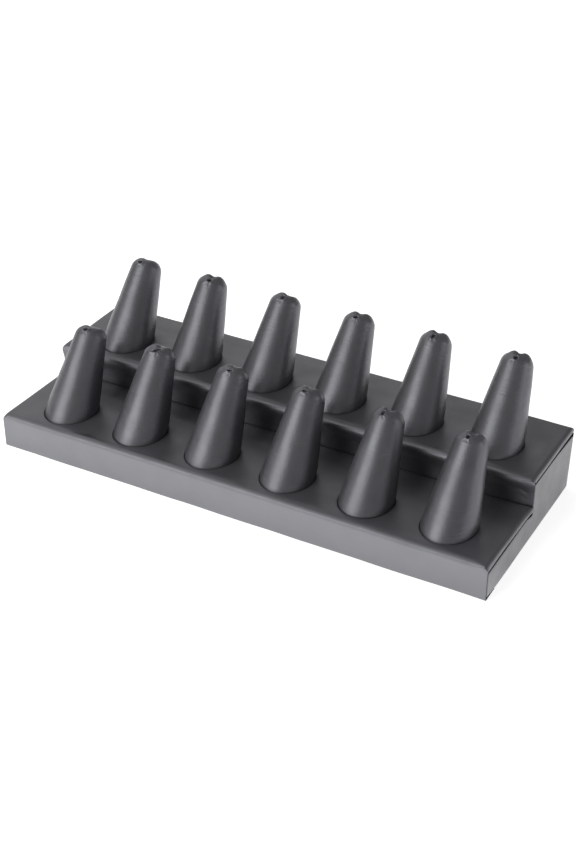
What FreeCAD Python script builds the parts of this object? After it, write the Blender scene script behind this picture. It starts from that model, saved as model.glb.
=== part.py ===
import FreeCAD, Part
import math
import os
import re
from FreeCAD import Placement, Rotation, Vector
from Sketcher import Constraint

# A two-tier ring display stand: a low stepped box of board, wrapped in leatherette, with a row of
# stuffed leatherette fingers on each tier. The fingers lean back and their tips are pinched.
#
# Frame: the origin is at the middle of the stand's footprint, on the surface it stands on. X runs
# along the rows, to the right seen from the front. Y runs from the front to the back, and Z is up.
# All sizes are in millimetres and degrees.

# Driving dimensions: alias, value, what it is
SIZES = [
    # the stepped box, over its covers
    ("overall_width", 225.0, "length of the stand along the rows"),
    ("lower_depth", 45.5, "front face to riser face"),
    ("upper_depth", 43.9, "riser face to the rear edge of the upper top"),
    ("lower_height", 15.6, "surface to the top of the lower tier"),
    ("upper_height", 28.5, "surface to the top of the upper tier"),
    ("nose_overhang", 1.0, "how far the upper top stands out over the riser"),
    ("back_lean", 2.0, "how far the back's foot stands in from its top"),
    # boards, covers and lining
    ("board_thickness", 2.5, "boards of the box"),
    ("deck_thickness", 1.5, "boards of the two tops"),
    ("cover_thickness", 0.5, "leatherette of the covers, and the lining"),
    ("lining_margin", 3.5, "bare strip between the lining and each end"),
    ("hem_width", 8.8, "cover turned in under the front and back edges"),
    ("hem_gap", 0.4, "space between the lining and each hem"),
    ("fold_radius", 0.7, "outer rounding of the fold at each hem"),
    ("front_radius", 1.7, "rounding of each top's front edge"),
    ("rear_radius", 1.2, "rounding of each top's rear edge"),
    ("end_radius", 1.7, "rounding of the tops where they roll over the ends"),
    ("nose_radius", 0.7, "rounding of the tops' lower edges"),
    ("seam_gap", 0.4, "dark line between a side cover and the top above it"),
    ("step_gap", 0.2, "space between the lower top and the riser"),
    ("riser_tuck", 5.0, "riser cover hidden below the lower top"),
    # fingers
    ("fingers_per_row", 6, "how many fingers stand on each tier"),
    ("end_finger_inset", 23.6, "end of the stand to the axis of the end finger"),
    ("lower_finger_gap", 1.5, "front board to the foot of a lower finger"),
    ("upper_finger_gap", 0.8, "riser board to the foot of an upper finger"),
    ("finger_lean", 30.2, "lean of a finger, back from upright"),
    ("root_radius", 11.4, "radius of a finger where its axis meets the top"),
    ("crown_radius", 6.27, "radius of a finger's taper, carried on to its tip"),
    ("finger_length", 36.5, "length of a finger along its axis, from the top to its tip"),
    ("shoulder_radius", 4.8, "rounding of a finger's tip"),
    ("sleeve_thickness", 0.5, "leatherette of a finger"),
    ("finger_tail", 2.0, "how far a finger reaches below its deck board"),
    ("finger_fit", 0.15, "space between a finger's foot and its hole"),
    ("core_rounding", 3.4, "rounding of the stuffing's tip"),
    ("tip_padding", 0.8, "height of leatherette under the puckered hole"),
    # pinched tip
    ("lobe_half_spacing", 2.2, "axis of the finger to the top of each lobe"),
    ("lobe_radius", 2.7, "rounding of each lobe towards the cleft"),
    ("cleft_sweep_radius", 10.5, "bend of the cleft, from front to back over the tip"),
    ("cleft_sweep_angle", 96.0, "how far the cleft runs over the tip"),
    ("pucker_tilt", 48.0, "turn of the puckered hole from the axis, forward over the shoulder"),
    ("pucker_mouth", 1.1, "radius of the puckered hole at the shoulder"),
    ("pucker_floor", 0.4, "radius of the puckered hole at its floor"),
    ("pucker_depth", 2.4, "depth of the puckered hole from the shoulder"),
]

DOC = FreeCAD.newDocument("ring_display_stand")
SHEET = DOC.addObject("Spreadsheet::Sheet", "dims")
SUB_PARTS = []

# Heights and depths that follow from the driving dimensions, as formulas
WRAPPED = "(deck_thickness + 2 * cover_thickness)"
LOWER_SEAT = f"(lower_height - {WRAPPED})"
UPPER_SEAT = f"(upper_height - {WRAPPED})"
LOWER_DECK = f"({LOWER_SEAT} + cover_thickness)"
UPPER_DECK = f"({UPPER_SEAT} + cover_thickness)"
WALL = "(cover_thickness + board_thickness)"
HALF = "(overall_width / 2)"
BOARD_END = f"({HALF} - cover_thickness)"
INNER_END = f"({HALF} - {WALL})"
REAR = "((lower_depth + upper_depth) / 2)"
FRONT = f"(-{REAR})"
RISER = f"({FRONT} + lower_depth)"
NOSE = f"({RISER} - nose_overhang)"
LOWER_TOP_REAR = f"({RISER} - step_gap)"
FRONT_BOARD = f"({FRONT} + cover_thickness)"
FRONT_BOARD_BACK = f"({FRONT} + {WALL})"
RISER_BOARD = f"({RISER} + cover_thickness)"
RISER_BOARD_BACK = f"({RISER} + {WALL})"

# A leaning cone meets the flat top in an ellipse, and its taper moves that ellipse forward
TAPER = "((root_radius - crown_radius) / finger_length)"
SKEW = f"({TAPER} * tan(finger_lean))"
FOOT_HALF_DEPTH = f"(root_radius / (cos(finger_lean) * (1 - {SKEW} ^ 2)))"
FOOT_HALF_WIDTH = f"(root_radius / sqrt(1 - {SKEW} ^ 2))"
CORE_SHARE = "((root_radius - sleeve_thickness) / root_radius)"
FOOT_DEPTH = "(deck_thickness + cover_thickness + finger_tail)"
# The taper starts this far down its axis, which is just below the flat top all round
SKIRT = f"(root_radius * tan(finger_lean) / (1 - {SKEW}) + cover_thickness)"

# The shoulder is rounded about a circle at this level and of this radius, and the puckered hole
# runs from the shoulder towards that circle
SHOULDER_LEVEL = "(finger_length - shoulder_radius)"
SHOULDER_CIRCLE = f"(crown_radius - shoulder_radius * (sqrt(1 + {TAPER} ^ 2) - {TAPER}))"
PUCKER_REACH = "(shoulder_radius - pucker_depth)"
PUCKER_LEVEL = f"({SHOULDER_LEVEL} + {PUCKER_REACH} * cos(pucker_tilt))"
PUCKER_LOWEST = f"({PUCKER_LEVEL} - pucker_floor * sin(pucker_tilt))"
CORE_LENGTH = f"({PUCKER_LOWEST} - tip_padding)"

# Where the feet stand, and how far apart they are along a row
LOWER_FOOT = f"({FRONT_BOARD_BACK} + lower_finger_gap + {FOOT_HALF_DEPTH})"
UPPER_FOOT = f"({RISER_BOARD_BACK} + upper_finger_gap + {FOOT_HALF_DEPTH})"
PITCH = "((overall_width - 2 * end_finger_inset) / (fingers_per_row - 1))"


def fill_sheet():
    """Put every driving dimension in the sheet, under its alias."""
    for row, (alias, value, note) in enumerate(SIZES, start=1):
        SHEET.set(f"A{row}", note)
        SHEET.set(f"B{row}", str(value))
        SHEET.setAlias(f"B{row}", alias)
    DOC.recompute()


def formula(text):
    """Turn a formula on plain aliases into an expression on the sheet."""
    return re.sub(r"[a-z]+(?:_[a-z]+)+", lambda found: "dims." + found.group(), str(text))


def bind(thing, **settings):
    """Bind properties of an object to formulas; a double underscore stands for a dot."""
    for name, text in settings.items():
        thing.setExpression(name.replace("__", "."), formula(text))


def place(thing, x=0, y=0, z=0):
    """Bind an object's place to three formulas."""
    bind(thing, Placement__Base__x=x, Placement__Base__y=y, Placement__Base__z=z)


def keep(thing, label):
    """Name a finished sub-part and list it for writing."""
    thing.Label = label
    SUB_PARTS.append(thing)
    return thing


def span(limits):
    """The distance between a pair of formulas."""
    return f"({limits[1]}) - ({limits[0]})"


def block(name, x, y, z):
    """A plain rectangular block between pairs of formulas."""
    box = DOC.addObject("Part::Box", name)
    bind(box, Length=span(x), Width=span(y), Height=span(z))
    place(box, x[0], y[0], z[0])
    return box


def cut(name, base, tool):
    """One solid less another."""
    result = DOC.addObject("Part::Cut", name)
    result.Base = base
    result.Tool = tool
    return result


def fuse(name, *pieces):
    """Several touching solids made one."""
    result = DOC.addObject("Part::MultiFuse", name)
    result.Shapes = list(pieces)
    result.Refine = True
    return result


def along(shape, axis, **where):
    """Names of the edges that run along an axis at the given coordinates."""
    found = []
    for number, edge in enumerate(shape.Edges, start=1):
        limits = edge.BoundBox
        lies_there = all(
            abs(getattr(limits, side.upper() + end) - value) < 1e-4
            for side, value in where.items()
            for end in ("Min", "Max")
        )
        if lies_there and getattr(limits, axis + "Length") > 1e-3:
            found.append(f"Edge{number}")
    return found


def rounded(body, base, edges, radius):
    """Round some edges of a body's last feature, and make that its tip."""
    rounding = body.newObject("PartDesign::Fillet", base.Name + "_rounded")
    rounding.Base = (base, edges)
    bind(rounding, Radius=radius)
    body.Tip = rounding
    DOC.recompute()
    return rounding


def solid_block(name, x, y, z):
    """A body that starts as a rectangular block, and that block."""
    body = DOC.addObject("PartDesign::Body", name)
    box = body.newObject("PartDesign::AdditiveBox", name + "_block")
    bind(box, Length=span(x), Width=span(y), Height=span(z))
    place(body, x[0], y[0], z[0])
    DOC.recompute()
    return body, box


def rolled_block(name, x, y, z, inset="0", nose=False):
    """A board-like block: what its front and rear roundings share with what its end ones leave.

    The two sets of roundings cross in a mitre at each corner, as the folded cover does. The inset
    makes them smaller, for the board inside the cover.
    """
    lengthwise, box = solid_block(name + "_lengthwise", x, y, z)
    depth, height = box.Width.Value, box.Height.Value
    tip = rounded(lengthwise, box, along(box.Shape, "X", y=0, z=height), f"front_radius - {inset}")
    tip = rounded(lengthwise, tip, along(tip.Shape, "X", y=depth, z=height), f"rear_radius - {inset}")
    if nose:
        rounded(lengthwise, tip, along(tip.Shape, "X", y=0, z=0), f"nose_radius - {inset}")
    crosswise, box = solid_block(name + "_crosswise", x, y, z)
    length = box.Length.Value
    upper = along(box.Shape, "Y", x=0, z=height) + along(box.Shape, "Y", x=length, z=height)
    tip = rounded(crosswise, box, upper, f"end_radius - {inset}")
    lower = along(tip.Shape, "Y", x=0, z=0) + along(tip.Shape, "Y", x=length, z=0)
    rounded(crosswise, tip, lower, f"nose_radius - {inset}")
    result = DOC.addObject("Part::Common", name)
    result.Base = lengthwise
    result.Tool = crosswise
    return result


def origin_plane(body, role):
    """One of a body's own origin planes, by its role."""
    return next(plane for plane in body.Origin.OriginFeatures if plane.Role == role)


def attached_sketch(body, name, role):
    """An empty sketch on one of a body's origin planes."""
    sketch = body.newObject("Sketcher::SketchObject", name)
    sketch.AttachmentSupport = (origin_plane(body, role), [""])
    sketch.MapMode = "FlatFace"
    return sketch


def fix_point(sketch, geometry, end, across, up):
    """Bind one point of a sketch to a pair of formulas."""
    point = sketch.getPoint(geometry, end)
    for axis, now, text in (("DistanceX", point.x, across), ("DistanceY", point.y, up)):
        index = sketch.addConstraint(Constraint(axis, -1, 1, geometry, end, now))
        sketch.setExpression(f"Constraints[{index}]", formula(text))


def side_outline(body, name, corners):
    """A closed outline seen from the end of the stand; each corner is a pair of formulas."""
    sketch = attached_sketch(body, name, "YZ_Plane")
    count = len(corners)
    turns = [2 * math.pi * number / count for number in range(count + 1)]
    ring = [Vector(math.cos(turn), math.sin(turn), 0) for turn in turns]
    for start, end in zip(ring, ring[1:]):
        sketch.addGeometry(Part.LineSegment(start, end), False)
    for number, (across, up) in enumerate(corners):
        sketch.addConstraint(Constraint("Coincident", number, 2, (number + 1) % count, 1))
        fix_point(sketch, number, 1, across, up)
    return sketch


def padded_outline(name, corners, x):
    """A solid of one outline all the way between two formulas along X."""
    body = DOC.addObject("PartDesign::Body", name)
    sketch = side_outline(body, name + "_outline", corners)
    pad = body.newObject("PartDesign::Pad", name + "_pad")
    pad.Profile = sketch
    bind(pad, Length=span(x))
    place(body, x=x[0])
    body.Tip = pad
    DOC.recompute()
    return body


def back_at(height, inward="0"):
    """Where the leaning back stands at a height, less a distance inward."""
    return f"({REAR} - back_lean * (1 - {height} / upper_height) - {inward})"


def leaning_wall(inner, outer, foot, top):
    """Corners of a wall that leans with the back, between two distances in from its face."""
    return [
        (back_at(foot, outer), foot),
        (back_at(top, outer), top),
        (back_at(top, inner), top),
        (back_at(foot, inner), foot),
    ]


def make_floor():
    """The bottom board, and the lining that hides it between the two hems."""
    board = block(
        "floor",
        (f"-{INNER_END}", INNER_END),
        (FRONT_BOARD_BACK, back_at("cover_thickness", WALL)),
        ("cover_thickness", WALL),
    )
    keep(board, "bottom_board")
    edge = f"({HALF} - lining_margin)"
    lining = block(
        "lining",
        (f"-{edge}", edge),
        (f"{FRONT} + hem_width + hem_gap", back_at("0", "(hem_width + hem_gap)")),
        ("0", "cover_thickness"),
    )
    keep(lining, "base_lining")


def make_walls():
    """The upright boards of the box, and the stepped boards at its ends."""
    front = block(
        "front",
        (f"-{BOARD_END}", BOARD_END),
        (FRONT_BOARD, FRONT_BOARD_BACK),
        ("cover_thickness", LOWER_DECK),
    )
    riser = block(
        "riser",
        (f"-{INNER_END}", INNER_END),
        (RISER_BOARD, RISER_BOARD_BACK),
        (WALL, UPPER_DECK),
    )
    corners = leaning_wall(WALL, "cover_thickness", "cover_thickness", UPPER_DECK)
    back = padded_outline("back", corners, (f"-{BOARD_END}", BOARD_END))
    keep(front, "front_board")
    keep(riser, "riser_board")
    keep(back, "back_board")
    stepped = [
        (FRONT_BOARD_BACK, "cover_thickness"),
        (back_at("cover_thickness", WALL), "cover_thickness"),
        (back_at(UPPER_SEAT, WALL), UPPER_SEAT),
        (RISER_BOARD, UPPER_SEAT),
        (RISER_BOARD, LOWER_SEAT),
        (FRONT_BOARD_BACK, LOWER_SEAT),
    ]
    left = padded_outline("left_wall", stepped, (f"-{BOARD_END}", f"-{INNER_END}"))
    right = padded_outline("right_wall", stepped, (INNER_END, BOARD_END))
    keep(left, "left_side_board")
    keep(right, "right_side_board")
    return front, back


def make_side_covers():
    """The stepped leatherette on each end, a dark line below the tops."""
    lower_edge = f"({LOWER_SEAT} - seam_gap)"
    upper_edge = f"({UPPER_SEAT} - seam_gap)"
    stepped = [
        (FRONT_BOARD, "cover_thickness"),
        (back_at("cover_thickness", "cover_thickness"), "cover_thickness"),
        (back_at(upper_edge, "cover_thickness"), upper_edge),
        (RISER_BOARD, upper_edge),
        (RISER_BOARD, lower_edge),
        (FRONT_BOARD, lower_edge),
    ]
    left = padded_outline("left_skin", stepped, (f"-{HALF}", f"-{BOARD_END}"))
    right = padded_outline("right_skin", stepped, (BOARD_END, HALF))
    keep(left, "left_side_cover")
    keep(right, "right_side_cover")


def foot_prism(name, share, growth, bottom, top):
    """An upright elliptical prism under a finger: its foot, its stuffing's foot or its hole."""
    ellipse = DOC.addObject("Part::Ellipse", name + "_ellipse")
    bind(
        ellipse,
        MajorRadius=f"{FOOT_HALF_DEPTH} * {share} + {growth}",
        MinorRadius=f"{FOOT_HALF_WIDTH} * {share} + {growth}",
    )
    ellipse.Placement = Placement(Vector(), Rotation(Vector(0, 0, 1), 90))
    place(ellipse, z=bottom)
    prism = DOC.addObject("Part::Extrusion", name)
    prism.Base = ellipse
    prism.Dir = Vector(0, 0, 1)
    prism.DirMode = "Custom"
    prism.Solid = True
    bind(prism, LengthFwd=span((bottom, top)))
    return prism


def finger_x(number):
    """Place of a finger along its row; the first is at the left end."""
    return f"(end_finger_inset - {HALF} + {number} * {PITCH})"


def copy_at(name, original, x, y, z):
    """A copy of a finished piece, moved to its own place."""
    copy = DOC.addObject("Part::Compound", name)
    copy.Links = [original]
    place(copy, x, y, z)
    return copy


def finger_holes(name, foot_y, seat, top):
    """A row of prisms that cut the finger holes of one tier; their middles lie on its feet."""
    bottom = f"({seat} - finger_tail)"
    hole = foot_prism(name + "_hole", "1", "finger_fit", bottom, f"({top} + finger_tail)")
    count = int(SHEET.fingers_per_row)
    row = DOC.addObject("Part::Compound", name)
    row.Links = [
        copy_at(f"{name}_{number}", hole, finger_x(number), foot_y, "0") for number in range(count)
    ]
    return row


def make_deck_board(tier, form, holes):
    """The board that one top is wrapped on, with its finger holes."""
    board = cut(f"{tier}_deck", form, holes)
    return keep(board, f"{tier}_deck_board")


def deck_form(tier, front, rear, bottom, nose):
    """The board of one top before its holes are cut."""
    return rolled_block(
        f"{tier}_deck_form",
        (f"-{BOARD_END}", BOARD_END),
        (f"{front} + cover_thickness", f"{rear} - cover_thickness"),
        (f"{bottom} + cover_thickness", f"{bottom} + cover_thickness + deck_thickness"),
        inset="cover_thickness",
        nose=nose,
    )


def wrapped_top(tier, front, rear, bottom, top, form, open_front, nose):
    """The cover of one top: rolled over its ends and turned in above the end boards only."""
    outside = rolled_block(
        f"{tier}_wrap_form", (f"-{HALF}", HALF), (front, rear), (bottom, top), nose=nose
    )
    shell = cut(f"{tier}_wrap_shell", outside, form)
    underside = block(
        f"{tier}_wrap_opening",
        (f"-{INNER_END}", INNER_END),
        (open_front, f"{rear} - cover_thickness"),
        (bottom, f"{bottom} + cover_thickness"),
    )
    return cut(f"{tier}_wrap", shell, underside)


def folded_hem(name, corners, fold_y):
    """A skirt of cover with the hem folded under it, rounded on the outside of the fold."""
    body = padded_outline(name, corners, (f"-{HALF}", HALF))
    edges = along(body.Tip.Shape, "X", y=fold_y, z=0)
    rounded(body, body.Tip, edges, "fold_radius")
    return body


def make_lower_cover(form, holes, front_board):
    """Hem, front face, rounded front edge, top and rolled ends of the lower tier, in one piece."""
    top = wrapped_top(
        "lower", FRONT, LOWER_TOP_REAR, LOWER_SEAT, "lower_height", form, FRONT_BOARD, False
    )
    skirt_top = f"({LOWER_SEAT} + nose_radius)"
    corners = [
        (FRONT, "0"),
        (f"{FRONT} + hem_width", "0"),
        (f"{FRONT} + hem_width", "cover_thickness"),
        (FRONT_BOARD, "cover_thickness"),
        (FRONT_BOARD, skirt_top),
        (FRONT, skirt_top),
    ]
    front = -(SHEET.lower_depth + SHEET.upper_depth) / 2
    skirt = folded_hem("front_skirt", corners, front)
    whole = fuse("lower_cover_whole", top, skirt)
    cleared = cut("lower_cover_cleared", whole, front_board)
    keep(cut("lower_cover", cleared, holes), "lower_tier_cover")


def make_upper_cover(form, holes, back_board):
    """Riser, rounded nose, top, rolled ends, back and hem of the upper tier, in one piece."""
    top = wrapped_top("upper", NOSE, REAR, UPPER_SEAT, "upper_height", form, RISER_BOARD, True)
    riser = block(
        "riser_skirt", (f"-{HALF}", HALF), (RISER, RISER_BOARD), (LOWER_SEAT, UPPER_DECK)
    )
    tuck = block(
        "riser_tuck_strip",
        (f"-{INNER_END}", INNER_END),
        (RISER, RISER_BOARD),
        (f"({LOWER_SEAT} - riser_tuck)", LOWER_SEAT),
    )
    corners = [
        (back_at("0"), "0"),
        (back_at(UPPER_DECK), UPPER_DECK),
        (back_at(UPPER_DECK, "cover_thickness"), UPPER_DECK),
        (back_at("cover_thickness", "cover_thickness"), "cover_thickness"),
        (back_at("0", "hem_width"), "cover_thickness"),
        (back_at("0", "hem_width"), "0"),
    ]
    foot = (SHEET.lower_depth + SHEET.upper_depth) / 2 - SHEET.back_lean
    skirt = folded_hem("back_skirt", corners, foot)
    whole = fuse("upper_cover_whole", top, riser, tuck, skirt)
    cleared = cut("upper_cover_cleared", whole, back_board)
    keep(cut("upper_cover", cleared, holes), "upper_tier_cover")


def cleft_outline(body):
    """The gap between two rounded lobes, drawn across the finger at its tip.

    The sketch's origin lies on the line that the cleft bends about.
    """
    sketch = attached_sketch(body, "cleft_outline", "XZ_Plane")
    bind(sketch, AttachmentOffset__Base__y="finger_length - cleft_sweep_radius")
    spacing, radius = SHEET.lobe_half_spacing, SHEET.lobe_radius
    crest = SHEET.cleft_sweep_radius
    clear = crest + radius
    reach = math.acos(spacing / radius)
    lid_left, lid_right = Vector(-spacing, clear, 0), Vector(spacing, clear, 0)
    left, right = Vector(-spacing, crest, 0), Vector(spacing, crest, 0)
    sketch.addGeometry(Part.LineSegment(lid_left, lid_right), False)
    sketch.addGeometry(Part.LineSegment(lid_right, right), False)
    centres = Vector(spacing, crest - radius, 0), Vector(-spacing, crest - radius, 0)
    circles = [Part.Circle(centre, Vector(0, 0, 1), radius) for centre in centres]
    sketch.addGeometry(Part.ArcOfCircle(circles[0], math.pi / 2, math.pi - reach), False)
    sketch.addGeometry(Part.ArcOfCircle(circles[1], reach, math.pi / 2), False)
    sketch.addGeometry(Part.LineSegment(left, lid_left), False)
    joints = [(0, 2, 1, 1), (1, 2, 2, 1), (2, 2, 3, 1), (3, 2, 4, 1), (4, 2, 0, 1)]
    for joint in joints:
        sketch.addConstraint(Constraint("Coincident", *joint))
    fix_point(sketch, 0, 1, "-lobe_half_spacing", "cleft_sweep_radius + lobe_radius")
    fix_point(sketch, 0, 2, "lobe_half_spacing", "cleft_sweep_radius + lobe_radius")
    fix_point(sketch, 2, 3, "lobe_half_spacing", "cleft_sweep_radius - lobe_radius")
    fix_point(sketch, 3, 3, "-lobe_half_spacing", "cleft_sweep_radius - lobe_radius")
    fix_point(sketch, 2, 1, "lobe_half_spacing", "cleft_sweep_radius")
    fix_point(sketch, 3, 2, "-lobe_half_spacing", "cleft_sweep_radius")
    return sketch


def tapered_body(name, root, length, rounding):
    """A round-ended taper that leans back with the finger; it starts below the flat top."""
    body = DOC.addObject("PartDesign::Body", name)
    cone = body.newObject("PartDesign::AdditiveCone", name + "_taper")
    bind(
        cone,
        Radius1=f"{root} + {TAPER} * {SKIRT}",
        Radius2=f"{root} - {TAPER} * {length}",
        Height=f"{length} + {SKIRT}",
    )
    place(cone, z=f"-{SKIRT}")
    DOC.recompute()
    tip_height = cone.Placement.Base.z + cone.Height.Value
    rounded(body, cone, along(cone.Shape, "X", z=tip_height), rounding)
    body.Placement = Placement(Vector(), Rotation(Vector(-1, 0, 0), 1))
    bind(body, Placement__Rotation__Angle="finger_lean")
    return body


def sleeve_body():
    """The outside of a finger, with the cleft between its lobes and the puckered hole."""
    body = tapered_body("sleeve_taper", "root_radius", "finger_length", "shoulder_radius")
    whole = body.Tip.Shape.Volume
    cleft = body.newObject("PartDesign::Groove", "cleft")
    sketch = cleft_outline(body)
    cleft.Profile = sketch
    cleft.ReferenceAxis = (sketch, ["H_Axis"])
    cleft.Midplane = True
    bind(cleft, Angle="cleft_sweep_angle")
    body.Tip = cleft
    DOC.recompute()
    grooved = cleft.Shape.Volume
    pucker = body.newObject("PartDesign::SubtractiveCone", "pucker")
    bind(pucker, Radius1="pucker_floor", Radius2="pucker_mouth", Height="pucker_depth")
    pucker.Placement = Placement(Vector(), Rotation(Vector(1, 0, 0), 1))
    bind(pucker, Placement__Rotation__Angle="pucker_tilt")
    forward = f"({SHOULDER_CIRCLE} + {PUCKER_REACH} * sin(pucker_tilt))"
    place(pucker, y=f"-{forward}", z=PUCKER_LEVEL)
    body.Tip = pucker
    DOC.recompute()
    if not pucker.Shape.Volume < grooved < whole:
        raise RuntimeError("the cleft or the puckered hole cuts nothing")
    return body


def stand_on_top(name, taper, share):
    """A finger's taper cut off flush with the tier's top, with an upright foot below it.

    What is cut off lies in a block that reaches well past the finger on every side.
    """
    reach = "(2 * finger_length)"
    below = block(f"{name}_below", (f"-{reach}", reach), (f"-{reach}", reach), (f"-{reach}", "0"))
    above = cut(f"{name}_above", taper, below)
    foot = foot_prism(f"{name}_foot", share, "0", f"-{FOOT_DEPTH}", "0")
    moved = copy_at(f"{name}_foot_place", foot, "0", f"-{FOOT_HALF_DEPTH} * {share} * {SKEW}", "0")
    return fuse(name, above, moved)


def make_fingers():
    """Twelve leatherette sleeves, each with its foam stuffing."""
    outside = stand_on_top("sleeve_whole", sleeve_body(), "1")
    core_root = "(root_radius - sleeve_thickness)"
    core_taper = tapered_body("core_taper", core_root, CORE_LENGTH, "core_rounding")
    core = stand_on_top("core_whole", core_taper, CORE_SHARE)
    sleeve = cut("sleeve_hollow", outside, core)
    DOC.recompute()
    shift = f"{FOOT_HALF_DEPTH} * {SKEW}"
    tiers = (("lower", LOWER_FOOT, "lower_height"), ("upper", UPPER_FOOT, "upper_height"))
    for tier, foot_y, top in tiers:
        for number in range(int(SHEET.fingers_per_row)):
            spot = (finger_x(number), f"{foot_y} + {shift}", top)
            name = f"{tier}_finger_sleeve_{number + 1}"
            keep(copy_at(name, sleeve, *spot), name)
            name = f"{tier}_finger_core_{number + 1}"
            keep(copy_at(name, core, *spot), name)


def make_tiers(front_board, back_board):
    """The two wrapped tops with their finger holes."""
    lower_holes = finger_holes("lower_holes", LOWER_FOOT, LOWER_SEAT, "lower_height")
    upper_holes = finger_holes("upper_holes", UPPER_FOOT, UPPER_SEAT, "upper_height")
    lower_form = deck_form("lower", FRONT, LOWER_TOP_REAR, LOWER_SEAT, False)
    upper_form = deck_form("upper", NOSE, REAR, UPPER_SEAT, True)
    make_deck_board("lower", lower_form, lower_holes)
    make_deck_board("upper", upper_form, upper_holes)
    make_lower_cover(lower_form, lower_holes, front_board)
    make_upper_cover(upper_form, upper_holes, back_board)


def check_all():
    """Stop if anything failed to build or a sub-part is not one sound solid."""
    for thing in DOC.Objects:
        if "Invalid" in thing.State or "Error" in thing.State:
            raise RuntimeError(f"{thing.Label} failed to build")
    for part in SUB_PARTS:
        shape = part.Shape
        if shape.isNull() or not shape.isValid() or len(shape.Solids) != 1:
            raise RuntimeError(f"{part.Label} is not one sound solid")


def write_all():
    """Write each sub-part to its own file, under its label."""
    os.makedirs("parts", exist_ok=True)
    for part in SUB_PARTS:
        part.Shape.Solids[0].exportStep(f"parts/{part.Label}.step")
        print(f"{part.Label}: {part.Shape.Volume:.0f} mm3")


fill_sheet()
front_wall, back_wall = make_walls()
make_floor()
make_side_covers()
make_tiers(front_wall, back_wall)
make_fingers()
DOC.recompute()
check_all()
write_all()
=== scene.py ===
# %% [markdown]
# A two-tier ring display stand. The real one is a low stepped box of board, wrapped in charcoal
# leatherette, with six stuffed leatherette fingers on each tier. The boards and the lining come from
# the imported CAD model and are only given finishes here. Everything soft that shows is built again
# in this lesson, over the same sizes, because leatherette rolls over edges, creases at corners and
# gathers at a fingertip, and a plain solid does none of that.

# %% The frame and its sizes
import math

import bmesh
import bpy
from mathutils import Matrix, Vector, noise


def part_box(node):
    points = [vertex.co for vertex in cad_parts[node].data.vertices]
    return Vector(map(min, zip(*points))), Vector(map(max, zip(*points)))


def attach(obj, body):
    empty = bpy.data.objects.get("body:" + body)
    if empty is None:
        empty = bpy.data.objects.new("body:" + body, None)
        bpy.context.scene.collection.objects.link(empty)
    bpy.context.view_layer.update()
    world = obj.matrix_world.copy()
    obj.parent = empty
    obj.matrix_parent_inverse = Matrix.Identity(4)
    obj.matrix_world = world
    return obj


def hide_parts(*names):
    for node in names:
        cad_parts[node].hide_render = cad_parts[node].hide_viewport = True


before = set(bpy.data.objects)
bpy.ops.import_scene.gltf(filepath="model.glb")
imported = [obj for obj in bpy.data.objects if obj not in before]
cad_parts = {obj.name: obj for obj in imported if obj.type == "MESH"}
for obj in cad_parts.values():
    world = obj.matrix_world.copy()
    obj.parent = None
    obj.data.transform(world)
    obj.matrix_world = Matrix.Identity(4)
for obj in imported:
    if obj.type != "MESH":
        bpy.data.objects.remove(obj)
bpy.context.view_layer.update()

MM = 0.001

# %% [markdown]
# The camera comes first, so that every later step can be compared with the picture. A product
# photographer stands well back with a long lens, which keeps the rows of fingers nearly parallel.
# The eye's place and the focal length were worked out from the stand's own corners.

# %% The camera
PICTURE_WIDE = 576
PICTURE_HIGH = 864
FOCAL_PIXELS = 1545.354
MIDDLE_ACROSS = 286.789
MIDDLE_DOWN = 421.962
EYE = Vector((268.29, -481.59, 364.86)) * MM
GAZE = Vector((-0.41009, 0.74311, -0.52879))

camera_data = bpy.data.cameras.new("camera")
camera_data.sensor_width = 36.0
camera_data.lens = camera_data.sensor_width * FOCAL_PIXELS / PICTURE_HIGH
camera_data.shift_x = (PICTURE_WIDE / 2 - MIDDLE_ACROSS) / PICTURE_HIGH
camera_data.shift_y = (MIDDLE_DOWN - PICTURE_HIGH / 2) / PICTURE_HIGH
camera_data.clip_start = 0.01
camera = bpy.data.objects.new("camera", camera_data)
camera.location = EYE
camera.rotation_mode = "QUATERNION"
camera.rotation_quaternion = GAZE.to_track_quat("-Z", "Y")
bpy.context.scene.collection.objects.link(camera)
bpy.context.scene.camera = camera
bpy.context.scene.view_settings.view_transform = "Standard"
print("lens", round(camera_data.lens, 2), "mm")

# %% [markdown]
# Node materials are long to write by hand. These small helpers add a node with its settings, and
# join two sockets, so that each finish below reads as a short recipe.

# %% Helpers for node materials
def new_material(name):
    """An empty material with its shader and output, and its nodes and links."""
    material = bpy.data.materials.new(name)
    material.use_nodes = True
    tree = material.node_tree
    shader = next(node for node in tree.nodes if node.type == "BSDF_PRINCIPLED")
    return material, tree, shader


def add_node(tree, kind, **sockets):
    """A node with plain values on its input sockets; an underscore stands for a space."""
    node = tree.nodes.new(kind)
    for name, value in sockets.items():
        node.inputs[name.replace("_", " ")].default_value = value
    return node


def pattern_space(tree, scale=(1, 1, 1), turn=(0, 0, 0)):
    """Object coordinates, stretched and turned for a pattern."""
    place = tree.nodes.new("ShaderNodeTexCoord")
    mapping = tree.nodes.new("ShaderNodeMapping")
    mapping.inputs["Scale"].default_value = scale
    mapping.inputs["Rotation"].default_value = turn
    tree.links.new(place.outputs["Object"], mapping.inputs["Vector"])
    return mapping.outputs["Vector"]


def noise_pattern(tree, space, scale, detail, roughness=0.5):
    """Cloudy noise in a pattern space."""
    node = add_node(
        tree, "ShaderNodeTexNoise", Scale=scale, Detail=detail, Roughness=roughness, Distortion=0.0
    )
    tree.links.new(space, node.inputs["Vector"])
    return node.outputs["Fac"]


def cell_pattern(tree, space, scale):
    """Rounded cells, as in pressed leather grain."""
    node = add_node(tree, "ShaderNodeTexVoronoi", Scale=scale)
    node.feature = "SMOOTH_F1"
    tree.links.new(space, node.inputs["Vector"])
    return node.outputs["Distance"]


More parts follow.
